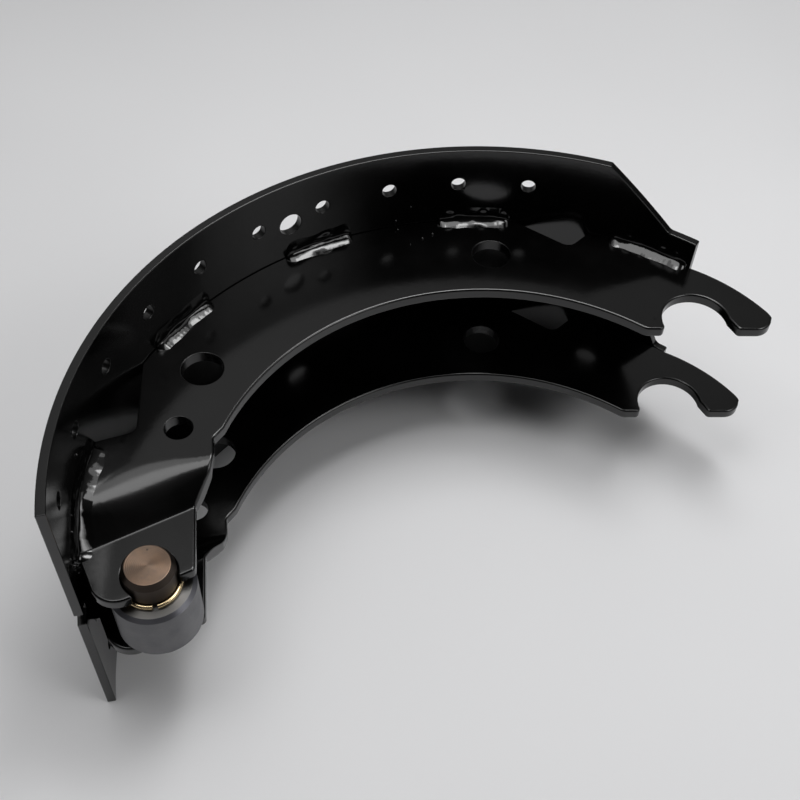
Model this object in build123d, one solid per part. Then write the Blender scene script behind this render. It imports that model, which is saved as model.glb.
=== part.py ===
from build123d import *
from math import asin, atan2, cos, degrees, radians, sin, sqrt, tan
import os

# A twin-web drum brake shoe, drawn about the drum axis: X runs from the roller to the anchor,
# Y to the crown of the shoe, Z along the drum axis. Angles are counted from +X. All sizes in mm.

# Table: the rolled plate that carries the lining
face_radius = 189.0
table_width = 163.0
table_thickness = 4.2
table_edge_radius = 0.6
roller_end_angle = 162.2
tongue_end_angle = 26.2
taper_start_angle = 42.3
taper_end_angle = 31.0
tongue_width = 103.0
tongue_corner_radius = 4.0

# Notch in the tongue's end, as wide as the gap between the webs, with a pointed bottom
end_notch_side_angle = 28.2
end_notch_tip_angle = 33.2
end_notch_radius = 4.0

# Slot with a round bottom in the middle of the table's roller end
end_slot_width = 8.0
end_slot_depth = 8.0

# Lining rivet holes, one row near each edge of the table
rivet_diameter = 7.6
rivet_count = 10
rivet_first_angle = 54.65
rivet_pitch_angle = 11.22
rivet_row_spacing = 120.6
sight_diameter = 12.2
sight_row_spacing = 112.6
sight_after_rivet = 3.5

# Holes on the table's middle line, the middle one at the crown
centre_hole_diameter = 13.0
centre_hole_count = 3
centre_hole_pitch_angle = 54.5

# Webs: two pressed plates, mirror images about the middle of the shoe
web_thickness = 6.0
web_spread = 71.6
web_depth = 52.2
web_edge_gap = 0.1

# The anchor's and the roller's axes: distance in from the table, angle up from the diameter between them
pivot_inset = 30.63
pivot_angle = 19.08

# Anchor hook: an open seat for the fixed pin at the end of each web
seat_diameter = 34.0
hook_width = 19.6
hook_bulge_drop = 11.5
seat_end_angle = -25.0
mouth_angle = -28.0
mouth_drop = 6.4
hook_tip_radius = 8.8
mouth_corner_radius = 2.5
heel_radius = 6.0

# Roller tab: the joggled end of each web, with an open hole for the roller pin
joggle_depth = 11.8
joggle_run_outer = 20.6
joggle_run_inner = 7.3
upper_bend_radius = 6.0
lower_bend_radius = 1.5
bend_rise = 21.9
tab_end_drop = 7.7
tab_outer_reach = 25.3
tab_inner_reach = 17.6
tab_shoulder_reach = 30.4
tab_leave_rise = 24.0
tab_outer_radius = 12.0
tab_inner_radius = 2.5
finger_tip_radius = 1.5
step_start_angle = 132.3
step_angles = (135.2, 138.6, 142.0)
step_crest = 2.2
step_foot = -0.8
step_heel = -1.2
step_radius = 3.0

# Round holes through both webs: the spring holes lie half way across the web
spring_hole_angles = (60.25, 121.85)
spring_hole_diameter = 20.0
locating_hole_inset = 19.2
locating_hole_angle = 134.95
locating_hole_diameter = 13.0

# Relief notches in the webs' outer edge: start, corner and end angles
roller_notch_angles = (125.5, 137.3, 140.4)
roller_notch_depth = 15.3
roller_notch_radius = 4.0
anchor_notch_angles = (55.8, 46.2, 43.8)
anchor_notch_depth = 12.9
anchor_notch_radius = 5.5

# Fillet welds between each web's outer face and the table: first and last angle
weld_angles = ((26.7, 40.2), (56.9, 69.0), (83.5, 95.2), (109.9, 122.0))
weld_end_angles = (141.2, 158.0)
weld_end_stations = 18
weld_end_share = 0.55
weld_web_leg = 5.2
weld_table_leg = 8.2
weld_sag = 0.8
weld_end_radius = 2.0
weld_gap = 0.1

# Roller, its pin and the two snap rings
pin_diameter = 23.2
pin_stand_out = 6.2
pin_chamfer = 1.75
pin_chamfer_length = 3.0
pin_seat_clearance = 0.1
roller_diameter = 38.2
roller_chamfer = 1.9
roller_chamfer_length = 1.6
roller_clearance = 0.05
ring_wire = 2.5
ring_groove_depth = 0.45
ring_side_clearance = 0.3
ring_groove_clearance = 0.05
ring_gap_angle = -105.5
ring_gap = 2.2

# Worked-out sizes
table_inner_radius = face_radius - table_thickness
web_outer_radius = table_inner_radius - web_edge_gap
web_inner_radius = web_outer_radius - web_depth
spring_hole_radius = (web_inner_radius + web_outer_radius) / 2
locating_hole_radius = web_inner_radius + locating_hole_inset
web_face = web_spread / 2
web_inner_face = web_face - web_thickness
crown_angle = (roller_end_angle + tongue_end_angle) / 2
tab_face = web_face - joggle_depth
tab_inner_face = tab_face - web_thickness
pin_radius = pin_diameter / 2
pivot_radius = table_inner_radius - pivot_inset
anchor_x = pivot_radius * cos(radians(pivot_angle))
pin_x = -anchor_x
pivot_height = pivot_radius * sin(radians(pivot_angle))
seat_radius = seat_diameter / 2
lower_bend_y = pivot_height + bend_rise
roller_half = tab_inner_face - ring_wire - 2 * ring_side_clearance
ring_z = roller_half + ring_side_clearance + ring_wire / 2
ring_radius = pin_radius - ring_groove_depth + ring_wire / 2
pin_half = tab_face + pin_stand_out
shoe_origin = Vector(anchor_x, pivot_height, 0)


def polar(radius, angle, height=0):
    return Vector(radius * cos(radians(angle)), radius * sin(radians(angle)), height)


def radial_plane(angle, height, radius=face_radius):
    outward = polar(1, angle)
    return Plane(origin=polar(radius, angle, height), x_dir=polar(1, angle + 90), z_dir=outward)


def arc_about_drum(radius, first, last):
    return ThreePointArc(polar(radius, first), polar(radius, (first + last) / 2), polar(radius, last))


def round_corner(face, point, radius):
    return fillet(face.vertices().sort_by_distance(point)[:1], radius)


def taper_cut():
    middle = (taper_start_angle + taper_end_angle) / 2
    start = face_radius * sin(radians(taper_start_angle - middle))
    end = face_radius * sin(radians(taper_end_angle - middle))
    beyond = end + 2 * (end - start)
    rim = table_width
    shape = FilletPolyline(
        (start, table_width / 2), (end, tongue_width / 2), (beyond, tongue_width / 2),
        radius=[tongue_corner_radius])
    closing = Polyline((beyond, tongue_width / 2), (beyond, rim), (start, rim), (start, table_width / 2))
    corner = make_face(shape.edges() + closing.edges())
    return extrude(radial_plane(middle, 0) * corner, 4 * table_thickness, both=True)


def end_notch():
    tip = face_radius * sin(radians(end_notch_tip_angle - end_notch_side_angle))
    beyond = 2 * face_radius * sin(radians(tongue_end_angle - end_notch_side_angle))
    half = web_inner_face
    points = [(beyond, -half), (0, -half), (tip, 0), (0, half), (beyond, half)]
    shape = FilletPolyline(*points, radius=[end_notch_radius] * 3)
    face = make_face(shape.edges() + [Edge.make_line(points[-1], points[0])])
    return extrude(radial_plane(end_notch_side_angle, 0) * face, 4 * table_thickness, both=True)


def end_slot():
    round_radius = end_slot_width / 2
    angle = roller_end_angle - degrees((end_slot_depth - round_radius) / face_radius)
    face = Circle(round_radius) + Pos(end_slot_depth / 2, 0) * Rectangle(end_slot_depth, end_slot_width)
    return extrude(radial_plane(angle, 0) * face, 4 * table_thickness, both=True)


def table_hole(angle, height, diameter):
    return radial_plane(angle, height).location * Cylinder(diameter / 2, 4 * table_thickness)


def centre_hole_angles():
    first = crown_angle - centre_hole_pitch_angle * (centre_hole_count - 1) / 2
    return [first + i * centre_hole_pitch_angle for i in range(centre_hole_count)]


def make_table():
    section = Plane.XZ * Pos(face_radius - table_thickness / 2, 0) * Rectangle(table_thickness, table_width)
    strip = revolve(section, Axis.Z, roller_end_angle - tongue_end_angle)
    strip = Rot(0, 0, tongue_end_angle) * strip
    upper_taper = taper_cut()
    strip = strip - upper_taper - mirror(upper_taper, Plane.XY) - end_notch() - end_slot()
    rims = strip.edges().filter_by(GeomType.CIRCLE)
    arcs = [e for e in rims if abs(e.center().Z) > table_width / 2 - table_edge_radius]
    strip = fillet(arcs, table_edge_radius)
    holes = [table_hole(angle, 0, centre_hole_diameter) for angle in centre_hole_angles()]
    for side in (1, -1):
        for i in range(rivet_count):
            angle = rivet_first_angle + i * rivet_pitch_angle
            holes.append(table_hole(angle, side * rivet_row_spacing / 2, rivet_diameter))
        sight_angle = rivet_first_angle + sight_after_rivet * rivet_pitch_angle
        holes.append(table_hole(sight_angle, side * sight_row_spacing / 2, sight_diameter))
    return strip - holes


def hook_points():
    anchor = Vector(anchor_x, pivot_height)
    along = Vector(cos(radians(mouth_angle)), sin(radians(mouth_angle)))
    inward = Vector(-along.Y, along.X)
    foot = anchor - inward * mouth_drop
    reach = foot.dot(along)
    heel = foot + along * (sqrt(reach ** 2 - foot.dot(foot) + web_inner_radius ** 2) - reach)
    seat_heel = foot - along * sqrt(seat_radius ** 2 - mouth_drop ** 2)
    seat_top = anchor + Vector(0, seat_radius)
    seat_end = anchor + polar(seat_radius, seat_end_angle)
    tip_inner = foot + along * ((seat_end.X - foot.X) / along.X)
    bulge = anchor + Vector(seat_radius + hook_width, -hook_bulge_drop)
    tip_outer = foot + along * ((bulge.X - foot.X) / along.X)
    return heel, seat_heel, seat_top, seat_end, tip_inner, tip_outer, bulge


def notch(angles, depth, radius):
    clear = web_edge_gap + table_thickness
    start = polar(web_outer_radius, angles[0])
    corner = polar(web_outer_radius - depth, angles[1])
    end = polar(web_outer_radius, angles[2])
    far_start = start + (start - corner).normalized() * clear
    far_end = end + (end - corner).normalized() * clear
    bent = FilletPolyline(far_start, corner, far_end, radius=[radius])
    return make_face(bent.edges() + [Edge.make_line(far_end, far_start)])


def step_points():
    places = zip((step_crest, step_foot, step_heel), step_angles)
    return [polar(web_inner_radius + rise, angle) for rise, angle in places]


def web_outline():
    heel, seat_heel, seat_top, seat_end, tip_inner, tip_outer, bulge = hook_points()
    tongue = polar(web_outer_radius, tongue_end_angle)
    leave_angle = 180 - degrees(asin((pivot_height + tab_leave_rise) / web_outer_radius))
    leave = polar(web_outer_radius, leave_angle)
    end_y = pivot_height - tab_end_drop
    hole_radius = pin_radius + pin_seat_clearance
    half_mouth = sqrt(hole_radius ** 2 - tab_end_drop ** 2)
    finger_width = tab_outer_reach - half_mouth
    outer_round = min(tab_outer_radius, finger_width - 2 * finger_tip_radius)
    tab_line = [leave, Vector(pin_x - tab_outer_reach, end_y), Vector(pin_x + tab_inner_reach, end_y),
                Vector(pin_x + tab_shoulder_reach, lower_bend_y)]
    tab_line += reversed(step_points())
    tab_line.append(polar(web_inner_radius, step_start_angle))
    tab_radii = [outer_round, tab_inner_radius, step_radius] + [step_radius] * len(step_angles)
    heel_angle = degrees(asin(heel.Y / web_inner_radius))
    edges = [
        arc_about_drum(web_outer_radius, tongue_end_angle, leave_angle),
        *FilletPolyline(*tab_line, radius=tab_radii).edges(),
        arc_about_drum(web_inner_radius, step_start_angle, heel_angle),
        Line(heel, seat_heel),
        ThreePointArc(seat_heel, seat_top, seat_end),
        Polyline(seat_end, tip_inner, tip_outer, bulge),
        TangentArc(bulge, tongue, tangent=(0, 1)),
    ]
    outline = make_face([edge for curve in edges for edge in curve.edges()])
    outline = round_corner(outline, heel, heel_radius)
    outline = round_corner(outline, seat_heel, mouth_corner_radius)
    outline = round_corner(outline, tip_inner, mouth_corner_radius)
    outline = round_corner(outline, tip_outer, hook_tip_radius)
    outline -= Pos(pin_x, pivot_height) * Circle(hole_radius)
    for side in (1, -1):
        outline = round_corner(outline, Vector(pin_x + side * half_mouth, end_y), finger_tip_radius)
    outline -= notch(roller_notch_angles, roller_notch_depth, roller_notch_radius)
    outline -= notch(anchor_notch_angles, anchor_notch_depth, anchor_notch_radius)
    for angle in spring_hole_angles:
        outline -= Pos(polar(spring_hole_radius, angle)) * Circle(spring_hole_diameter / 2)
    outline -= Pos(polar(locating_hole_radius, locating_hole_angle)) * Circle(locating_hole_diameter / 2)
    return outline


def joggle_section(x, run):
    slope = asin(joggle_depth / sqrt(run ** 2 + joggle_depth ** 2))
    shift = web_thickness * tan(slope / 2)
    low = pivot_height - 2 * tab_end_drop
    high = face_radius
    upper_y = lower_bend_y + run
    top = [(low, tab_face), (lower_bend_y, tab_face), (upper_y, web_face), (high, web_face)]
    bends = [low, lower_bend_y + shift, upper_y + shift, high]
    under = [(y, z - web_thickness) for y, (_, z) in zip(bends, top)]
    upper_line = FilletPolyline(*top, radius=[lower_bend_radius, upper_bend_radius + web_thickness])
    under_line = FilletPolyline(*under, radius=[lower_bend_radius + web_thickness, upper_bend_radius])
    ends = [Edge.make_line(top[0], under[0]), Edge.make_line(top[-1], under[-1])]
    section = make_face(upper_line.edges() + under_line.edges() + ends)
    return Plane(origin=(x, 0, 0), x_dir=(0, 1, 0), z_dir=(1, 0, 0)) * section


def split_x():
    return step_points()[0].X


def make_web():
    split = split_x()
    outer = joggle_section(-face_radius, joggle_run_outer)
    inner = joggle_section(split, joggle_run_inner)
    bent = loft([outer, inner], ruled=True)
    flat_length = face_radius + hook_width - split
    flat = Pos(split, 0, web_face) * Box(
        flat_length, face_radius, web_thickness, align=(Align.MIN, Align.MIN, Align.MAX))
    blank = extrude(Pos(0, 0, tab_inner_face) * web_outline(), web_face - tab_inner_face)
    return blank & (bent + flat)


def web_top(x, y):
    if x > split_x():
        return web_face
    share = (x + face_radius) / (split_x() + face_radius)
    run = joggle_run_outer + share * (joggle_run_inner - joggle_run_outer)
    rise = min(max((y - lower_bend_y) / run, 0), 1)
    return tab_face + rise * joggle_depth


def angle_of(point):
    return degrees(atan2(point.Y, point.X))


def bead_section(angle, share=1.0):
    root_radius = table_inner_radius - weld_gap
    toe_radius = table_inner_radius - share * weld_web_leg
    corner = polar(root_radius, angle)
    toe = polar(toe_radius, angle)
    corner.Z = web_top(corner.X, corner.Y) + weld_gap
    toe.Z = web_top(toe.X, toe.Y) + weld_gap
    top = corner + Vector(0, 0, share * weld_table_leg)
    outward = (polar(-1, angle) + Vector(0, 0, 1)).normalized()
    hollow = (toe + top) / 2 - outward * share * weld_sag
    legs = [Edge.make_line(top, corner), Edge.make_line(corner, toe)]
    return make_face(legs + ThreePointArc(toe, hollow, top).edges())


def make_straight_weld(first, last):
    bead = revolve(bead_section(first), Axis.Z, last - first)
    rims = bead.edges().filter_by(GeomType.CIRCLE)
    middle = (first + last) / 2
    ends = [e for e in rims if abs(angle_of(e.center()) - middle) > (last - first) / 4]
    return fillet(ends, weld_end_radius)


def make_end_weld():
    first, last = weld_end_angles
    pitch = (last - first) / (weld_end_stations - 1)
    shares = [weld_end_share] + [1.0] * (weld_end_stations - 2) + [weld_end_share]
    return loft([bead_section(first + i * pitch, share) for i, share in enumerate(shares)], ruled=True)


def make_pin():
    groove_radius = ring_radius - ring_wire / 2 - ring_groove_clearance
    half_groove = ring_wire / 2 + ring_groove_clearance
    half = Polyline(
        (0, 0), (pin_radius, 0),
        (pin_radius, ring_z - half_groove), (groove_radius, ring_z - half_groove),
        (groove_radius, ring_z + half_groove), (pin_radius, ring_z + half_groove),
        (pin_radius, pin_half - pin_chamfer_length), (pin_radius - pin_chamfer, pin_half),
        (0, pin_half), (0, 0))
    upper = revolve(Plane.XZ * make_face(half.edges()), Axis.Z)
    return Pos(pin_x, pivot_height) * (upper + mirror(upper, Plane.XY))


def make_roller():
    bore = pin_radius + roller_clearance
    outer = roller_diameter / 2
    half = Polyline(
        (bore, 0), (outer, 0), (outer, roller_half - roller_chamfer_length),
        (outer - roller_chamfer, roller_half), (bore, roller_half), (bore, 0))
    upper = revolve(Plane.XZ * make_face(half.edges()), Axis.Z)
    return Pos(pin_x, pivot_height) * (upper + mirror(upper, Plane.XY))


def make_snap_ring():
    gap_turn = degrees(ring_gap / ring_radius)
    wire = Plane.XZ * Pos(ring_radius, ring_z) * Circle(ring_wire / 2)
    ring = revolve(wire, Axis.Z, 360 - gap_turn)
    return Pos(pin_x, pivot_height) * Rot(0, 0, ring_gap_angle + gap_turn / 2) * ring


def make_upper_side():
    side = {"web": make_web(), "snap_ring": make_snap_ring()}
    for number, (first, last) in enumerate(weld_angles, 1):
        side[f"weld_{number}"] = make_straight_weld(first, last)
    side[f"weld_{len(weld_angles) + 1}"] = make_end_weld()
    return side


nodes = {"table": make_table(), "roller_pin": make_pin(), "roller": make_roller()}
for name, shape in make_upper_side().items():
    nodes[f"upper_{name}"] = shape
    nodes[f"lower_{name}"] = mirror(shape, Plane.XY)

os.makedirs("parts", exist_ok=True)
for name, shape in nodes.items():
    export_step(Pos(-shoe_origin) * shape, f"parts/{name}.step")
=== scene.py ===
import math
import bmesh
import bpy
from mathutils import Euler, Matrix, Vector, noise


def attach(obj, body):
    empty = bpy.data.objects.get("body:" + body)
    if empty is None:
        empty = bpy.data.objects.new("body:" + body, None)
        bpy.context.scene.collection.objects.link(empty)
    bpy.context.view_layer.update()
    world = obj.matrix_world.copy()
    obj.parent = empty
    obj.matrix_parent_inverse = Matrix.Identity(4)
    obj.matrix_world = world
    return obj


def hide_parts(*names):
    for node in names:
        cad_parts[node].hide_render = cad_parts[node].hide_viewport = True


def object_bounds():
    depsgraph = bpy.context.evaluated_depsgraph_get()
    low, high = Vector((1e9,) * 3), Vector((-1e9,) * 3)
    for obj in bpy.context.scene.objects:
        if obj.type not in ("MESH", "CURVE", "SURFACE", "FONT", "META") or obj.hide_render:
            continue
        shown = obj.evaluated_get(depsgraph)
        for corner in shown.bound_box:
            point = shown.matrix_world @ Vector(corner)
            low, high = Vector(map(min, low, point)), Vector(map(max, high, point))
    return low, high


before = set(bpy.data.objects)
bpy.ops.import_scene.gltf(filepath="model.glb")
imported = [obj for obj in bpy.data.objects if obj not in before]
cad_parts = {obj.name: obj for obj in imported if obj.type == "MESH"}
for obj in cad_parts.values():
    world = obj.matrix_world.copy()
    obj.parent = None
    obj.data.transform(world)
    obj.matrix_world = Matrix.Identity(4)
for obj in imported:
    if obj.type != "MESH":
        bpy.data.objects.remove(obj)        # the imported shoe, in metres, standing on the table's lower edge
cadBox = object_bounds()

mm = 0.001
scene = bpy.context.scene

# the shoe's main sizes in mm and degrees, with the origin at the anchor seat
shoe = {
    "drumX": -145.7, "drumY": -50.4,             # drum axis
    "pinX": -291.4,                              # roller axis
    "faceRadius": 189.0, "tableThickness": 4.2, "tableWidth": 163.0,
    "webFace": 35.8, "webThickness": 6.0, "tabFace": 24.0,
}
tableInner = shoe["faceRadius"] - shoe["tableThickness"]


def drumPoint(radius, angle, height):            # mm and degrees about the drum axis, to metres
    turn = math.radians(angle)
    x = shoe["drumX"] + radius * math.cos(turn)
    y = shoe["drumY"] + radius * math.sin(turn)
    return Vector((x, y, height)) * mm


def pinPoint(radius, turn, height):              # mm and radians about the roller axis, to metres
    return Vector((shoe["pinX"] + radius * math.cos(turn), radius * math.sin(turn), height)) * mm


def sideName(side):
    return "upper" if side > 0 else "lower"


# node helpers for the finishes

def newFinish(name):
    material = bpy.data.materials.new(name)
    material.use_nodes = True
    tree = material.node_tree
    tree.nodes.clear()
    output = tree.nodes.new("ShaderNodeOutputMaterial")
    shader = tree.nodes.new("ShaderNodeBsdfPrincipled")
    tree.links.new(shader.outputs["BSDF"], output.inputs["Surface"])
    place = tree.nodes.new("ShaderNodeTexCoord")
    return material, tree, shader, place.outputs["Object"]


def addNode(tree, kind, values=None, links=None):
    node = tree.nodes.new(kind)
    for key, value in (values or {}).items():
        if hasattr(node, key):
            setattr(node, key, value)
        else:
            node.inputs[key].default_value = value
    for key, source in (links or {}).items():
        tree.links.new(source, node.inputs[key])
    return node


def vectorNode(tree, operation, vector, other=None):
    node = addNode(tree, "ShaderNodeVectorMath", {"operation": operation}, {0: vector})
    if other:
        node.inputs[1].default_value = other
    return node.outputs


def noiseAt(tree, vector, scale, detail=3.0, roughness=0.5):
    values = {"Scale": scale, "Detail": detail, "Roughness": roughness}
    return addNode(tree, "ShaderNodeTexNoise", values, {"Vector": vector}).outputs["Fac"]


def spread(tree, source, low, high, start=0.0, end=1.0):   # maps start..end to low..high
    values = {"From Min": start, "From Max": end, "To Min": low, "To Max": high}
    return addNode(tree, "ShaderNodeMapRange", values, {"Value": source}).outputs["Result"]


def shareOf(tree, source, limits, unit=1.0):     # 0 below the first limit, 1 above the second
    return spread(tree, source, 0.0, 1.0, *[limit * unit for limit in limits])


def mixColours(tree, share, first, second):
    node = addNode(tree, "ShaderNodeMix", {"data_type": "RGBA"})
    tree.links.new(share, node.inputs["Factor"])
    for key, value in (("A", first), ("B", second)):
        socket = [s for s in node.inputs if s.name == key and s.type == "RGBA"][0]
        if isinstance(value, tuple):
            socket.default_value = value
        else:
            tree.links.new(value, socket)
    return [s for s in node.outputs if s.type == "RGBA"][0]


def addBump(tree, shader, height, strength, distance, before=None):
    values = {"Strength": strength, "Distance": distance}
    bump = addNode(tree, "ShaderNodeBump", values, {"Height": height})
    if before:
        tree.links.new(before, bump.inputs["Normal"])
    tree.links.new(bump.outputs["Normal"], shader.inputs["Normal"])
    return bump.outputs["Normal"]


def axisPlace(tree, place):                      # position with the roller axis at the middle
    return vectorNode(tree, "SUBTRACT", place, (shoe["pinX"] * mm, 0.0, 0.0))["Vector"]


def fromAxis(tree, middle):                      # distance from the roller axis
    flat = vectorNode(tree, "MULTIPLY", middle, (1.0, 1.0, 0.0))["Vector"]
    return vectorNode(tree, "LENGTH", flat)["Value"]


def groundRound(tree, shader, amount):           # fine marks round the axis draw highlights out along it
    tangent = addNode(tree, "ShaderNodeTangent", {"direction_type": "RADIAL", "axis": "Z"})
    tree.links.new(tangent.outputs["Tangent"], shader.inputs["Tangent"])
    shader.inputs["Anisotropic"].default_value = amount
    shader.inputs["Anisotropic Rotation"].default_value = 0.25   # a quarter turn


# in the looks, a noise is scale, detail and roughness, and a pair of limits is where a change starts and ends
paintLook = {
    "black": (0.0005, 0.0005, 0.0005, 1.0), "dust": (0.0018, 0.0017, 0.0017, 1.0),
    "plate": (0.13, 0.2), "bead": (0.07, 0.12), "hole": (0.24, 0.34),   # roughness, clean and dusty
    "cloud": (26.0, 6.0, 0.62), "dusty": (0.42, 0.78), "dulled": (0.35, 0.85),
    "ior": 1.5, "waveDetail": 2.0,
    "sag": (30.0, 0.03, 0.004),                  # slow waves in the paint: scale, strength, depth
    "peel": (520.0, 0.025, 0.0006),              # orange peel
}


def blackPaint(name, smooth, dull):
    material, tree, shader, place = newFinish(name)
    cloud = noiseAt(tree, place, *paintLook["cloud"])
    share = shareOf(tree, cloud, paintLook["dusty"])
    colour = mixColours(tree, share, paintLook["black"], paintLook["dust"])
    tree.links.new(colour, shader.inputs["Base Color"])
    rough = spread(tree, cloud, smooth, dull, *paintLook["dulled"])
    tree.links.new(rough, shader.inputs["Roughness"])
    shader.inputs["IOR"].default_value = paintLook["ior"]
    before = None
    for wave in ("sag", "peel"):
        scale, strength, depth = paintLook[wave]
        height = noiseAt(tree, place, scale, paintLook["waveDetail"])
        before = addBump(tree, shader, height, strength, depth, before)
    return material


rollerLook = {
    "edge": (17.15, 17.3), "rim": (18.9, 19.05),     # limits in mm, from face to chamfer to side
    # painted shade: all the roller's steel colours are darker than bare ground steel, and the face and
    # chamfer are darker than the side, the chamfer darkest
    "face": (0.125, 0.122, 0.118, 1.0), "chamfer": (0.09, 0.09, 0.1, 1.0),
    "side": (0.17, 0.17, 0.175, 1.0), "sideStained": (0.13, 0.13, 0.138, 1.0),
    "stain": (90.0, 4.0, 0.6), "stained": (0.35, 0.7),
    "markStretch": (60.0, 60.0, 3200.0), "mark": (1.0, 4.0, 0.7), "markBump": (0.08, 0.0003),
    "rough": (0.3, 0.46), "drawnOut": 0.9,
}


def groundSteel():
    material, tree, shader, place = newFinish("ground_roller_steel")
    middle = axisPlace(tree, place)
    stretched = vectorNode(tree, "MULTIPLY", middle, rollerLook["markStretch"])["Vector"]
    marks = noiseAt(tree, stretched, *rollerLook["mark"])
    stain = shareOf(tree, noiseAt(tree, middle, *rollerLook["stain"]), rollerLook["stained"])
    away = fromAxis(tree, middle)
    edge = shareOf(tree, away, rollerLook["edge"], mm)
    rim = shareOf(tree, away, rollerLook["rim"], mm)
    colour = mixColours(tree, stain, rollerLook["side"], rollerLook["sideStained"])
    # painted shade: the chamfer and then the face take darker colours than the side
    colour = mixColours(tree, rim, rollerLook["chamfer"], colour)
    colour = mixColours(tree, edge, rollerLook["face"], colour)
    tree.links.new(colour, shader.inputs["Base Color"])
    shader.inputs["Metallic"].default_value = 1.0
    tree.links.new(spread(tree, marks, *rollerLook["rough"]), shader.inputs["Roughness"])
    groundRound(tree, shader, rollerLook["drawnOut"])
    addBump(tree, shader, marks, *rollerLook["markBump"])
    return material


pinLook = {
    "edge": (9.75, 9.95),                        # limits in mm, from face to side
    "face": (0.18, 0.12, 0.084, 1.0), "faceStained": (0.125, 0.094, 0.074, 1.0),
    # painted shade: the nearly black side colour, which also covers the chamfer
    "side": (0.055, 0.044, 0.037, 1.0), "stain": (150.0, 5.0, 0.6), "stained": (0.35, 0.68),
    "dot": (2.85, 7.0, 30.2), "dotSize": (0.35, 0.6),   # dark dot on the face, in mm from the axis
    "rings": {"Scale": 420.0, "Distortion": 1.2, "Detail": 3.0, "Detail Scale": 1.5},
    "ringBump": (0.15, 0.0002), "rough": (0.3, 0.42), "drawnOut": 0.6,
}


def turnedSteel():
    material, tree, shader, place = newFinish("turned_pin_steel")
    middle = axisPlace(tree, place)
    values = {"wave_type": "RINGS", "rings_direction": "Z", **pinLook["rings"]}
    rings = addNode(tree, "ShaderNodeTexWave", values, {"Vector": middle}).outputs["Fac"]
    stain = shareOf(tree, noiseAt(tree, middle, *pinLook["stain"]), pinLook["stained"])
    dotPlace = [c * mm for c in pinLook["dot"]]
    dot = shareOf(tree, vectorNode(tree, "DISTANCE", middle, dotPlace)["Value"], pinLook["dotSize"], mm)
    edge = shareOf(tree, fromAxis(tree, middle), pinLook["edge"], mm)
    colour = mixColours(tree, stain, pinLook["face"], pinLook["faceStained"])
    colour = mixColours(tree, dot, pinLook["side"], colour)
    # painted shade: the chamfer and side take the dark side colour
    colour = mixColours(tree, edge, colour, pinLook["side"])
    tree.links.new(colour, shader.inputs["Base Color"])
    shader.inputs["Metallic"].default_value = 1.0
    tree.links.new(spread(tree, rings, *pinLook["rough"]), shader.inputs["Roughness"])
    groundRound(tree, shader, pinLook["drawnOut"])
    addBump(tree, shader, rings, *pinLook["ringBump"])
    return material


zincLook = {
    "bright": (0.6, 0.47, 0.28, 1.0), "dark": (0.46, 0.36, 0.22, 1.0),
    "stain": (300.0, 4.0, 0.6), "stained": (0.35, 0.7), "stainBump": (0.05, 0.0003),
    "rough": (0.16, 0.34),
}


def yellowZinc():
    material, tree, shader, place = newFinish("yellow_zinc_wire")
    stain = noiseAt(tree, place, *zincLook["stain"])
    share = shareOf(tree, stain, zincLook["stained"])
    colour = mixColours(tree, share, zincLook["bright"], zincLook["dark"])
    tree.links.new(colour, shader.inputs["Base Color"])
    shader.inputs["Metallic"].default_value = 1.0
    tree.links.new(spread(tree, stain, *zincLook["rough"]), shader.inputs["Roughness"])
    addBump(tree, shader, stain, *zincLook["stainBump"])
    return material


finishes = {
    "black_paint": blackPaint("gloss_black_paint", *paintLook["plate"]),
    "roller_steel": groundSteel(), "pin_steel": turnedSteel(), "yellow_zinc": yellowZinc(),
}
beadFinish = blackPaint("thick_black_paint", *paintLook["bead"])
holeFinish = blackPaint("punched_black_paint", *paintLook["hole"])
print("finishes ready", len(finishes) + 2)


# mesh helpers

meshing = {
    "sharpAngle": 38, "evenWeight": 60,          # shading of edges
    "sideShare": 0.5,                            # keeps the inset short at sharp corners
    "cutGap": 1e-5,
    "cornerRoom": 0.49,                          # part of a side that a rounded corner may take
}


def addPiece(shape, name, body, slot, nodes):    # a bmesh in metres becomes a piece that stands for CAD nodes
    bmesh.ops.recalc_face_normals(shape, faces=shape.faces)
    for face in shape.faces:
        face.smooth = True
    sharp = math.radians(meshing["sharpAngle"])
    for edge in shape.edges:
        if len(edge.link_faces) == 2 and edge.calc_face_angle() > sharp:
            edge.smooth = False
    mesh = bpy.data.meshes.new(name)
    shape.to_mesh(mesh)
    shape.free()
    piece = bpy.data.objects.new(name, mesh)
    scene.collection.objects.link(piece)
    even = piece.modifiers.new("even_shading", "WEIGHTED_NORMAL")
    even.keep_sharp = True
    even.weight = meshing["evenWeight"]
    mesh.materials.append(finishes[slot])
    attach(piece, body)
    if nodes:
        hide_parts(*nodes)
    return piece


def joinRings(shape, rings):                     # faces between closed rings of points
    faces = []
    for here, after in zip(rings, rings[1:]):
        for i in range(len(here)):
            j = (i + 1) % len(here)
            faces.append(shape.faces.new((here[i], after[i], after[j], here[j])))
    return faces


def closeEnds(shape, rings):
    shape.faces.new(rings[0])
    shape.faces.new(rings[-1])


def loopNormals(points):                         # sideways direction at each point, to the left of travel
    normals = []
    for i, point in enumerate(points):
        before = (point - points[i - 1]).normalized()
        after = (points[(i + 1) % len(points)] - point).normalized()
        left = Vector((-before.y - after.y, before.x + after.x))
        left.normalize()
        side = Vector((-before.y, before.x))
        normals.append(left / max(left.dot(side), meshing["sideShare"]))
    return normals


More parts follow.
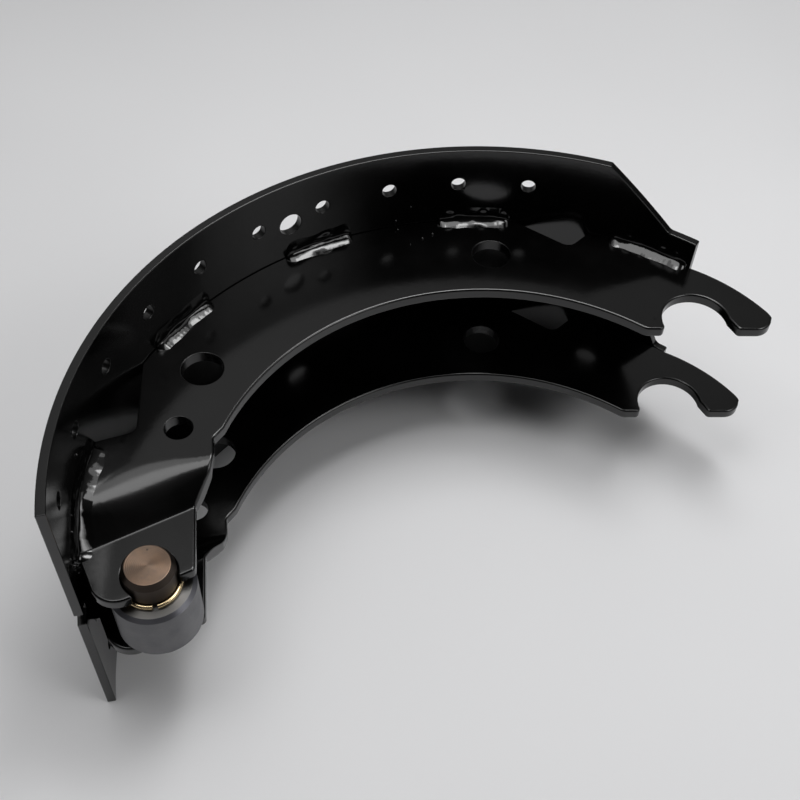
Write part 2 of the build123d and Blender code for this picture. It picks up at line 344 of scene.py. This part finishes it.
def plateSolid(loops, thickness, rounding, holeRounding, steps):
    # closed flat plate from z 0 down, outer loop counter-clockwise and holes clockwise, with round edges
    shape = bmesh.new()
    profile = []
    for i in range(steps + 1):
        turn = math.pi / 2 * i / steps
        profile.append((1 - math.cos(turn), 1 - math.sin(turn)))
    rims = [[], []]
    for points in loops:
        normals = loopNormals(points)
        area = sum(a.x * b.y - a.y * b.x for a, b in zip(points, points[1:] + points[:1]))
        size = rounding if area > 0 else holeRounding
        rows = [(inset * size, -depth * size) for inset, depth in reversed(profile)]
        rows += [(inset * size, depth * size - thickness) for inset, depth in profile]
        rings = []
        for inset, height in rows:
            ring = [shape.verts.new((*(p + n * inset), height)) for p, n in zip(points, normals)]
            rings.append(ring)
        for face in joinRings(shape, rings):
            face.material_index = 0 if area > 0 else 1
        count = len(points)
        for rim, ring in zip(rims, (rings[0], rings[-1])):
            rim += [shape.edges.get((ring[i], ring[(i + 1) % count])) for i in range(count)]
    for rim in rims:
        bmesh.ops.triangle_fill(shape, use_beauty=True, edges=rim)
    return shape


def cutAcross(shape, axis, places, keep=None):   # adds edges along planes, so that the plate can bend there
    for value in places:
        point = Vector((0, 0, 0))
        point[axis] = value
        normal = Vector((0, 0, 0))
        normal[axis] = 1
        faces = [f for f in shape.faces if keep is None or keep(f.calc_center_bounds())]
        geometry = set(faces)
        for face in faces:
            geometry.update(face.verts)
            geometry.update(face.edges)
        bmesh.ops.bisect_plane(shape, geom=list(geometry), plane_co=point, plane_no=normal,
                               dist=meshing["cutGap"])


def roundedLoop(points, radii, steps):           # closed outline with each corner rounded
    result = []
    count = len(points)
    for i, point in enumerate(points):
        back = points[i - 1] - point
        ahead = points[(i + 1) % count] - point
        room = min(back.length, ahead.length) * meshing["cornerRoom"]
        back.normalize()
        ahead.normalize()
        half = back.angle(ahead) / 2
        reach = min(radii[i] / math.tan(half), room)
        size = reach * math.tan(half)
        centre = point + (back + ahead).normalized() * (size / math.sin(half))
        start = point + back * reach - centre
        end = point + ahead * reach - centre
        for k in range(steps + 1):
            result.append(centre + start.lerp(end, k / steps).normalized() * size)
    return result


def holeLoop(x, y, radius, count):               # clockwise circle
    turns = [-2 * math.pi * i / count for i in range(count)]
    return [Vector((x + radius * math.cos(t), y + radius * math.sin(t))) for t in turns]


# table: a flat strip with its holes, then rolled to the drum's curve

table = {
    "rollerEnd": 162.2, "tongueEnd": 26.2, "taperStart": 42.3, "taperEnd": 31.0,
    "tongueWidth": 103.0, "tongueCorner": 4.0,
    "notchSide": 28.2, "notchTip": 33.2, "notchHalf": 29.8, "notchCorner": 4.0,
    "slotHalf": 4.0, "slotDepth": 8.0,           # slot in the roller end
    "endCorner": 0.3, "taperCorner": 0.5, "tipCorner": 0.8, "cornerSteps": 6,
    "rivets": 10, "firstRivet": 54.65, "rivetPitch": 11.22, "rivetRadius": 3.8, "rivetRow": 60.3,
    "sightRadius": 6.1, "sightRow": 56.3, "sightAfter": 3.5,
    "centreAngles": (39.7, 94.2, 148.7), "centreRadius": 6.5,
    "rivetSteps": 40, "holeSteps": 56,           # points round a hole
    "edgeRound": 0.5, "holeRound": 0.25, "edgeSteps": 3, "rollStep": 1.0,
}
midRadius = shoe["faceRadius"] - shoe["tableThickness"] / 2


def alongTable(angle):                           # arc length on the plate's middle, from the roller end
    return midRadius * math.radians(table["rollerEnd"] - angle)


def tableOutline():
    half = shoe["tableWidth"] / 2
    narrow = table["tongueWidth"] / 2
    gap = table["notchHalf"]
    start, end = alongTable(table["taperStart"]), alongTable(table["taperEnd"])
    tip = alongTable(table["tongueEnd"])
    endCorner, tipCorner, notchCorner = table["endCorner"], table["tipCorner"], table["notchCorner"]
    side = [((0, half), endCorner), ((start, half), table["taperCorner"]),
            ((end, narrow), table["tongueCorner"]), ((tip, narrow), tipCorner),
            ((tip, gap), tipCorner), ((alongTable(table["notchSide"]), gap), notchCorner)]
    corners = [((x, -y), radius) for (x, y), radius in side]
    corners.append(((alongTable(table["notchTip"]), 0), notchCorner))
    corners += reversed(side)
    slot, deep = table["slotHalf"], table["slotDepth"]
    corners += [((0, slot), endCorner), ((deep, slot), slot),
                ((deep, -slot), slot), ((0, -slot), endCorner)]
    return roundedLoop([Vector(p) for p, _ in corners], [r for _, r in corners], table["cornerSteps"])


def tableHoles():
    first, pitch = table["firstRivet"], table["rivetPitch"]
    centre = (table["centreRadius"], table["holeSteps"])
    rivet = (table["rivetRadius"], table["rivetSteps"])
    sight = (table["sightRadius"], table["holeSteps"])
    loops = [holeLoop(alongTable(angle), 0, *centre) for angle in table["centreAngles"]]
    for sign in (1, -1):
        for i in range(table["rivets"]):
            loops.append(holeLoop(alongTable(first + i * pitch), sign * table["rivetRow"], *rivet))
        angle = first + table["sightAfter"] * pitch
        loops.append(holeLoop(alongTable(angle), sign * table["sightRow"], *sight))
    return loops


def makeTable():
    shape = plateSolid([tableOutline()] + tableHoles(), shoe["tableThickness"],
                       table["edgeRound"], table["holeRound"], table["edgeSteps"])
    length = alongTable(table["tongueEnd"])
    cuts = int((table["rollerEnd"] - table["tongueEnd"]) / table["rollStep"])
    cutAcross(shape, 0, [length * (i + 0.5) / cuts for i in range(cuts)])
    for vert in shape.verts:
        angle = table["rollerEnd"] - math.degrees(vert.co.x / midRadius)
        vert.co = drumPoint(shoe["faceRadius"] + vert.co.z, angle, vert.co.y)
    piece = addPiece(shape, "rolled_table", "shoe", "black_paint", ["table"])
    piece.data.materials.append(holeFinish)
    print("table rolled", cuts, "cuts")


makeTable()


# webs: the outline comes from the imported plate, the joggle is pressed again with fine bends

web = {
    "edgeRound": 1.15, "holeRound": 0.35, "edgeSteps": 5,
    "mergeGap": 0.02, "flatEnough": 0.1,         # for reading the outline
    "tableGap": 0.1, "paintedGap": 0.05,         # gap at the table in the solid, and under paint
    "grooveReach": 0.3, "grooveFill": 0.5,       # paint half fills the groove there
    "pressStep": 0.6, "pressAcross": 2.5, "pressBefore": 4.0, "pressAfter": 18.0,
    "lowerBend": 21.9, "runOuter": 20.6, "runInner": 7.3,
    "outerX": shoe["drumX"] - shoe["faceRadius"], "splitX": shoe["drumX"] - 95.58,
    "lowerRadius": 1.5, "upperRadius": 12.0,
    "softFrom": -318.0, "softTo": -240.0, "softRadius": 24.0,   # rounder bend in the tab's middle
}


def webLoops():
    shape = bmesh.new()
    shape.from_mesh(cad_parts["upper_web"].data)
    bmesh.ops.remove_doubles(shape, verts=shape.verts, dist=web["mergeGap"] * mm)
    shape.normal_update()
    follow = {}                                  # from each point of the upper rim to the next
    for face in shape.faces:
        if face.normal.z < web["flatEnough"]:
            continue
        for loop in face.loops:
            other = loop.link_loop_radial_next.face
            if abs(other.normal.z) < web["flatEnough"]:
                follow[loop.vert.index] = loop.link_loop_next.vert.index
    shape.verts.ensure_lookup_table()
    loops = []
    while follow:
        first = next(iter(follow))
        chain = [first]
        step = follow.pop(first)
        while step != first:
            chain.append(step)
            step = follow.pop(step)
        points = [Vector((shape.verts[i].co.x, shape.verts[i].co.y)) / mm for i in chain]
        loops.append(points)
    shape.free()
    return loops


def pressedHeight(x, y, lift):                   # lift 1 on the outer face, 0 on the inner face
    if x > web["splitX"]:
        return shoe["webFace"] - (1 - lift) * shoe["webThickness"]
    depth = shoe["webFace"] - shoe["tabFace"]
    share = (x - web["outerX"]) / (web["splitX"] - web["outerX"])
    run = web["runOuter"] + share * (web["runInner"] - web["runOuter"])
    slope = math.atan2(depth, run)
    across = min(max((x - web["softFrom"]) / (web["softTo"] - web["softFrom"]), 0), 1)
    upperRadius = web["upperRadius"] + web["softRadius"] * math.sin(math.pi * across) ** 2
    heights = []
    for under in (1, 0):
        thick = under * shoe["webThickness"]
        start = web["lowerBend"] + thick * math.tan(slope / 2)
        low = shoe["tabFace"] - thick
        high = shoe["webFace"] - thick
        lowRadius = web["lowerRadius"] + thick
        highRadius = upperRadius - thick
        lowReach = lowRadius * math.tan(slope / 2)
        highReach = highRadius * math.tan(slope / 2)
        end = start + run
        if y <= start - lowReach:
            height = low
        elif y < start + lowReach * math.cos(slope):
            height = low + lowRadius - math.sqrt(lowRadius ** 2 - (y - start + lowReach) ** 2)
        elif y <= end - highReach * math.cos(slope):
            height = low + (y - start) * math.tan(slope)
        elif y < end + highReach:
            height = high - highRadius + math.sqrt(highRadius ** 2 - (y - end - highReach) ** 2)
        else:
            height = high
        heights.append(height)
    return heights[0] + lift * (heights[1] - heights[0])


def outerHeight(point):                          # of the web's outer face in mm, at a place in metres
    return pressedHeight(point.x / mm, point.y / mm, 1)


def makeWeb(side):
    shape = plateSolid(webLoops(), shoe["webThickness"],
                       web["edgeRound"], web["holeRound"], web["edgeSteps"])
    first = web["lowerBend"] - web["pressBefore"]
    last = web["lowerBend"] + web["runOuter"] + web["pressAfter"]
    count = int((last - first) / web["pressStep"])
    places = [first + i * web["pressStep"] for i in range(count)]
    cutAcross(shape, 1, places, lambda centre: centre.x < web["splitX"])
    width = web["splitX"] - web["outerX"]
    count = int(width / web["pressAcross"])
    places = [web["outerX"] + width * (i + 0.5) / count for i in range(count)]
    cutAcross(shape, 0, places, lambda centre: first < centre.y < last and centre.x < web["splitX"])
    groove = tableInner - web["edgeRound"] - web["grooveReach"]
    for vert in shape.verts:
        out = Vector((vert.co.x - shoe["drumX"], vert.co.y - shoe["drumY"]))
        if out.length > groove:
            filled = web["grooveFill"] * (out.length - tableInner + web["tableGap"])
            out *= (tableInner - web["paintedGap"] + filled) / out.length
            vert.co.x, vert.co.y = shoe["drumX"] + out.x, shoe["drumY"] + out.y
        lift = 1 + vert.co.z / shoe["webThickness"]
        height = pressedHeight(vert.co.x, vert.co.y, lift)
        vert.co = Vector((vert.co.x, vert.co.y, side * height)) * mm
    if side < 0:
        bmesh.ops.reverse_faces(shape, faces=shape.faces)
    name = sideName(side) + "_web"
    piece = addPiece(shape, "pressed_" + name, "shoe", "black_paint", [name])
    piece.data.materials.append(holeFinish)


for side in (1, -1):
    makeWeb(side)
print("webs pressed")


# roller, pin and snap rings, turned about the roller axis

lathe = {"steps": 192, "cornerSteps": 4}


def lathePiece(points, radius, name, body, slot, node):
    profile = roundedLoop([Vector(p) for p in points], [radius] * len(points), lathe["cornerSteps"])
    shape = bmesh.new()
    rings = []
    for k in range(lathe["steps"]):
        turn = 2 * math.pi * k / lathe["steps"]
        rings.append([shape.verts.new(pinPoint(p.x, turn, p.y)) for p in profile])
    joinRings(shape, rings + rings[:1])
    addPiece(shape, name, body, slot, [node])


roller = {
    "radius": 19.1, "half": 14.9, "bore": 11.65, "chamfer": 1.9, "chamferLength": 1.6, "corner": 0.2,
}


def makeRoller():
    outer, half, bore = roller["radius"], roller["half"], roller["bore"]
    face = outer - roller["chamfer"]
    shoulder = half - roller["chamferLength"]
    points = [(bore, -half), (face, -half), (outer, -shoulder),
              (outer, shoulder), (face, half), (bore, half)]
    lathePiece(points, roller["corner"], "ground_roller", "roller", "roller_steel", "roller")


snapRing = {
    "height": 16.45, "radius": 12.4, "wire": 2.5, "gapAngle": -105.5, "gap": 2.2,
    "around": 24, "along": 150, "capRings": 6,
    "capStart": 0.15, "capLength": 0.5,          # round ends, half as long as the wire's radius
}
pin = {
    "radius": 11.6, "half": 30.2, "chamfer": 1.75, "chamferLength": 3.0, "corner": 0.25,
    "grooveDepth": 0.5, "grooveHalf": 1.3, "core": 0.02,   # the profile stops just short of the axis
}


def makePin():
    radius, half, core = pin["radius"], pin["half"], pin["core"]
    groove = radius - pin["grooveDepth"]
    low = snapRing["height"] - pin["grooveHalf"]
    high = snapRing["height"] + pin["grooveHalf"]
    shoulder = half - pin["chamferLength"]
    face = radius - pin["chamfer"]
    side = [(radius, low), (groove, low), (groove, high), (radius, high), (radius, shoulder), (face, half)]
    points = [(core, -half)] + [(r, -z) for r, z in reversed(side)] + side + [(core, half)]
    lathePiece(points, pin["corner"], "turned_pin", "shoe", "pin_steel", "roller_pin")


def makeSnapRing(side):
    wire = snapRing["wire"] / 2
    radius = snapRing["radius"]
    gap = snapRing["gap"] / radius
    first = math.radians(snapRing["gapAngle"]) + gap / 2
    sweep = 2 * math.pi - gap
    along, capRings, around = snapRing["along"], snapRing["capRings"], snapRing["around"]
    cap = wire * snapRing["capLength"]
    stations = []                                # (turn, wire radius): round ends inside the wire's length
    for k in range(capRings):
        short = 1 - math.sin(math.pi / 2 * (k + snapRing["capStart"]) / capRings)
        stations.append((cap * short / radius, wire * (1 - short ** 2) ** 0.5))
    body = [(cap / radius + (sweep - 2 * cap / radius) * k / along, wire) for k in range(along + 1)]
    tail = [(sweep - turn, size) for turn, size in reversed(stations)]
    shape = bmesh.new()
    rings = []
    for turn, size in stations + body + tail:
        ring = []
        for i in range(around):
            tilt = 2 * math.pi * i / around
            height = side * (snapRing["height"] + size * math.sin(tilt))
            ring.append(shape.verts.new(pinPoint(radius + size * math.cos(tilt), first + turn, height)))
        rings.append(ring)
    joinRings(shape, rings)
    closeEnds(shape, rings)
    name = sideName(side) + "_snap_ring"
    addPiece(shape, "wire_" + name, "shoe", "yellow_zinc", [name])


makeRoller()
makePin()
for side in (1, -1):
    makeSnapRing(side)
print("roller, pin and rings turned")


# weld beads: a smooth, lumpy run of metal in the corner, nearly flat on the web and steep on the table

weld = {
    "spans": ((26.7, 40.2), (56.9, 69.0), (83.5, 95.2), (109.9, 122.0), (141.2, 158.0)),
    "webLeg": (5.3, 6.1, 6.1, 6.1, 7.1), "tableLeg": 8.4,
    "around": 36, "step": 0.3, "endLength": 4.0, "leastFull": 0.0004, "bury": 0.35, "rootInset": 0.5,
    "knee": (0.9, 1.7), "pull": 2.6,             # the hollow of the section and how tight it is
    "thinner": 0.8, "thinOn": 5.0, "footInset": 3.0,   # thinner where it runs down the slope
    "wander": 1.4, "wanderScale": 0.13,          # how far the toes stray slowly
    "jitter": 0.1, "jitterScale": 0.6,           # and quickly
    "lump": 0.4, "lumpScale": (0.09, 1.9),       # scales along the bead and across it
    "grain": 0.16, "grainScale": (0.34, 4.0),    # small lumps on the large ones
    "lumpPower": 0.7, "lumpIn": 0.5, "lumpUp": 0.85,
    "ledge": 0.5, "ledgeScale": 0.17, "ledgeBase": 0.2, "ledgeGain": 1.6,
    "ledgeAt": 0.86, "ledgeHalf": 0.07,          # broken ledge under the table's toe
    "numberLane": 7.3, "sideLane": 31.7,         # a lane of its own in the noise for each bead
    "tableLift": 3.1, "jitterLift": 5, "ledgeLift": 9.0, "grainLane": 2,   # and for each use
}


def beadSection(share, webLeg, tableLeg, full, thin):  # share 0 at the web's toe, 1 at the table's toe
    near, far = (1 - share) ** 2, share ** 2
    middle = 2 * weld["pull"] * share * (1 - share)
    total = near + middle + far
    kneeIn, kneeUp = weld["knee"][0], weld["knee"][1] * (1 - weld["thinner"] * thin)
    inward = (near * webLeg + middle * kneeIn * full) / total
    rise = (middle * kneeUp * full + far * tableLeg) / total
    return inward, rise


def beadLegs(number, lane, s, full):             # on the web and on the table
    legs = []
    for leg, lift in ((weld["webLeg"][number], 0.0), (weld["tableLeg"], weld["tableLift"])):
        slow = noise.noise(Vector((s * weld["wanderScale"], lane, lift)))
        quick = noise.noise(Vector((s * weld["jitterScale"], lane, lift + weld["jitterLift"])))
        legs.append((leg + weld["wander"] * slow + weld["jitter"] * quick) * full)
    return legs


def beadLump(lane, s, share):
    (along, across), (fineAlong, fineAcross) = weld["lumpScale"], weld["grainScale"]
    swell = weld["lump"] * noise.noise(Vector((s * along, lane, share * across)))
    fine = noise.noise(Vector((s * fineAlong, lane + weld["grainLane"], share * fineAcross)))
    return swell + weld["grain"] * weld["lump"] * fine


def beadRow(number, side, s, length, angle):     # points of one section, from the root round to the table
    lane = weld["numberLane"] * number + weld["sideLane"] * side
    fromEnd = min(s, length - s) / weld["endLength"]
    full = math.sqrt(max(1 - (1 - min(fromEnd, 1)) ** 2, weld["leastFull"]))
    legs = beadLegs(number, lane, s, full)
    broken = noise.noise(Vector((s * weld["ledgeScale"], lane, weld["ledgeLift"])))
    ledge = weld["ledge"] * full * max(weld["ledgeBase"] + weld["ledgeGain"] * broken, 0)
    foot = outerHeight(drumPoint(tableInner - weld["footInset"], angle, 0))
    fallen = (shoe["webFace"] - foot) / (shoe["webFace"] - shoe["tabFace"])
    thin = min(weld["thinOn"] * fallen * (1 - fallen), 1)
    row = []
    for i in range(weld["around"] + 1):
        share = i / weld["around"]
        inward, rise = beadSection(share, *legs, full, thin)
        swell = beadLump(lane, s, share) * math.sin(math.pi * share) ** weld["lumpPower"] * full
        bulge = ledge * math.exp(-((share - weld["ledgeAt"]) / weld["ledgeHalf"]) ** 2)
        inward += weld["lumpIn"] * swell + bulge
        rise += weld["lumpUp"] * swell
        point = drumPoint(tableInner - max(inward, 0), angle, 0)
        point.z = (outerHeight(point) + max(rise, 0)) * mm
        row.append(point)
    bury = weld["bury"]
    toe = row[0].copy()
    toe.z -= bury * mm
    near = outerHeight(drumPoint(tableInner - weld["rootInset"], angle, 0))
    root = drumPoint(tableInner + bury, angle, near - bury)
    top = drumPoint(tableInner + bury, angle, row[-1].z / mm)
    return [root, toe] + row + [top]


def makeWeld(number, side):
    first, last = weld["spans"][number]
    length = tableInner * math.radians(last - first)
    count = int(length / weld["step"])
    shape = bmesh.new()
    rows = []
    for k in range(count + 1):
        angle = first + (last - first) * k / count
        row = beadRow(number, side, length * k / count, length, angle)
        rows.append([shape.verts.new(Vector((p.x, p.y, side * p.z))) for p in row])
    joinRings(shape, rows)
    closeEnds(shape, rows)
    name = sideName(side) + "_weld_" + str(number + 1)
    piece = addPiece(shape, name + "_bead", "shoe", "black_paint", [name])
    piece.data.materials[0] = beadFinish


for side in (1, -1):
    for number in range(len(weld["spans"])):
        makeWeld(number, side)
print("welds laid")


# spatter beside the upper beads, painted over, each with its radius in mm

spatter = {
    "onWeb": (                                   # radius and angle about the drum axis
        (172.5, 72.2, 0.8), (174.8, 70.3, 0.9), (169.3, 74.6, 0.5), (181.6, 75.8, 0.6), (141.2, 25.5, 0.6)),
    "onTable": (                                 # angle and height
        (75.9, 39.3, 0.7), (73.5, 47.5, 0.6), (158.5, 25.0, 0.9), (159.1, 33.3, 0.6), (157.8, 16.5, 0.8),
        (156.1, 26.8, 0.5), (155.1, 34.4, 0.7), (153.3, 38.3, 0.5), (146.2, 50.3, 0.7), (145.9, 62.3, 0.5)),
    "lift": 0.15,                                # of the middle off the plate, in radii
    "uneven": 0.15, "unevenScale": 900, "placeScale": 300, "subdivisions": 2,
}


def makeSpatter():
    shape = bmesh.new()
    lift = spatter["lift"]
    spots = []
    for radius, angle, size in spatter["onWeb"]:
        spots.append((drumPoint(radius, angle, shoe["webFace"] + size * lift), size))
    for angle, height, size in spatter["onTable"]:
        spots.append((drumPoint(tableInner - size * lift, angle, height), size))
    for place, size in spots:
        made = bmesh.ops.create_icosphere(shape, subdivisions=spatter["subdivisions"], radius=size * mm)
        for vert in made["verts"]:
            bump = noise.noise(vert.co * spatter["unevenScale"] + place * spatter["placeScale"])
            vert.co = place + vert.co * (1 + spatter["uneven"] * bump)
    addPiece(shape, "weld_spatter", "shoe", "black_paint", [])


makeSpatter()
print("spatter thrown")


# studio: pale floor, soft lamps overhead and at the front right, world, camera

shoeMiddle = (-0.15, 0.05, 0.0)
floorLook = {
    "size": 6.0, "colour": (0.78, 0.78, 0.79, 1.0), "dull": (0.74, 0.74, 0.75, 1.0),
    "shade": (3.0, 2.0), "shaded": (0.3, 0.7), "rough": 0.9,
    "fade": (0.55, 1.7), "far": (0.6, 0.6, 0.605, 1.0),   # evenly pale far from the lamps
}


def makeFloor():
    mesh = bpy.data.meshes.new("floor")
    half = floorLook["size"] / 2
    low = cadBox[0].z
    corners = [(-half, -half, low), (half, -half, low), (half, half, low), (-half, half, low)]
    mesh.from_pydata(corners, [], [(0, 1, 2, 3)])
    floor = bpy.data.objects.new("floor", mesh)
    scene.collection.objects.link(floor)
    material, tree, shader, place = newFinish("pale_floor")
    shade = shareOf(tree, noiseAt(tree, place, *floorLook["shade"]), floorLook["shaded"])
    lit = mixColours(tree, shade, floorLook["colour"], floorLook["dull"])
    fade = shareOf(tree, vectorNode(tree, "DISTANCE", place, shoeMiddle)["Value"], floorLook["fade"])
    colour = mixColours(tree, fade, lit, (0.0, 0.0, 0.0, 1.0))
    tree.links.new(colour, shader.inputs["Base Color"])
    rays = addNode(tree, "ShaderNodeLightPath").outputs
    seen = rays["Is Camera Ray"]
    for kind in ("Is Glossy Ray", "Is Transmission Ray"):
        either = addNode(tree, "ShaderNodeMath", {"operation": "MAXIMUM"}, {0: seen, 1: rays[kind]})
        seen = either.outputs["Value"]
    glow = addNode(tree, "ShaderNodeMath", {"operation": "MULTIPLY"}, {0: seen, 1: fade})
    shader.inputs["Emission Color"].default_value = floorLook["far"]
    tree.links.new(glow.outputs["Value"], shader.inputs["Emission Strength"])
    shader.inputs["Roughness"].default_value = floorLook["rough"]
    mesh.materials.append(material)


# a wide softbox overhead and one at the front right, both brighter inside, and a weak one at the right
lights = {
    "softbox": {
        "place": (-0.17, 0.2, 1.0), "aim": (-0.17, 0.2, 0.0), "size": (1.1, 0.6), "power": 3.6},
    "softbox_front": {
        "place": (-0.17, 0.06, 0.99), "aim": (-0.17, 0.06, 0.0), "size": (1.1, 0.32), "power": 2.4},
    "right": {
        "place": (0.78, -0.3, 0.9), "aim": shoeMiddle, "size": (0.6, 0.5), "power": 0.8},
    "front_edge": {
        "place": (0.43, -0.7, 0.89), "aim": shoeMiddle, "size": (0.76, 0.54), "power": 2.3},
    "front": {
        "place": (0.42, -0.685, 0.875), "aim": shoeMiddle, "size": (0.54, 0.38), "power": 1.3},
    "front_core": {
        "place": (0.41, -0.67, 0.86), "aim": shoeMiddle, "size": (0.3, 0.22), "power": 0.5},
    "softbox_bulb": {
        "place": (0.14, 0.2, 0.98), "aim": (0.14, 0.2, 0.0), "size": (0.2, 0.36), "power": 2.2},
}


def makeLight(name, look):
    lamp = bpy.data.lights.new(name, "AREA")
    lamp.shape = "RECTANGLE"
    lamp.size, lamp.size_y = look["size"]
    lamp.energy = look["power"]
    light = bpy.data.objects.new(name, lamp)
    light.location = look["place"]
    light.rotation_euler = (Vector(look["aim"]) - light.location).to_track_quat("-Z", "Y").to_euler()
    scene.collection.objects.link(light)


# world: pale at the horizon, soft behind the shoe, dark on the camera's side
worldLook = {
    "behind": (0.15, 0.6, 0.785),
    "glow": ((0.0, 0.02), (0.3, 0.03), (0.57, 0.11), (0.84, 0.2), (0.96, 0.36), (1.0, 0.55)),
    "horizon": ((0.0, 0.6), (0.03, 0.5), (0.14, 0.0)),
}


def rampAt(tree, source, stops):
    ramp = addNode(tree, "ShaderNodeValToRGB", None, {"Fac": source})
    while len(ramp.color_ramp.elements) < len(stops):
        ramp.color_ramp.elements.new(0.5)
    for element, (position, value) in zip(ramp.color_ramp.elements, stops):
        element.position = position
        element.color = (value, value, value, 1.0)
    return ramp.outputs["Color"]


def makeWorld():
    world = bpy.data.worlds.new("studio")
    scene.world = world
    world.use_nodes = True
    tree = world.node_tree
    tree.nodes.clear()
    place = addNode(tree, "ShaderNodeTexCoord").outputs["Generated"]
    toward = vectorNode(tree, "DOT_PRODUCT", place, worldLook["behind"])["Value"]
    glow = rampAt(tree, toward, worldLook["glow"])
    height = addNode(tree, "ShaderNodeSeparateXYZ", None, {0: place}).outputs["Z"]
    horizon = rampAt(tree, height, worldLook["horizon"])
    both = addNode(tree, "ShaderNodeVectorMath", {"operation": "MAXIMUM"}, {0: glow, 1: horizon})
    back = addNode(tree, "ShaderNodeBackground", {"Strength": 1.0}, {"Color": both.outputs["Vector"]})
    output = addNode(tree, "ShaderNodeOutputWorld")
    tree.links.new(back.outputs["Background"], output.inputs["Surface"])


view = {
    "place": (-0.33489, -0.27137, 0.45798), "turn": (38.072, -2.973, -30.396),
    "lens": 52.685, "sensor": 36.0, "clipStart": 0.01,
    "shift": (-0.0476, 0.0311),                  # the photo is cropped off centre
}


def makeCamera():
    data = bpy.data.cameras.new("photo_view")
    data.sensor_width = view["sensor"]
    data.lens = view["lens"]
    data.shift_x, data.shift_y = view["shift"]
    data.clip_start = view["clipStart"]
    camera = bpy.data.objects.new("photo_view", data)
    camera.location = view["place"]
    camera.rotation_euler = Euler([math.radians(a) for a in view["turn"]], "XYZ")
    scene.collection.objects.link(camera)
    scene.camera = camera


makeFloor()
for name, look in lights.items():
    makeLight(name, look)
makeWorld()
makeCamera()
scene.view_settings.view_transform = "Standard"
print("studio lit")
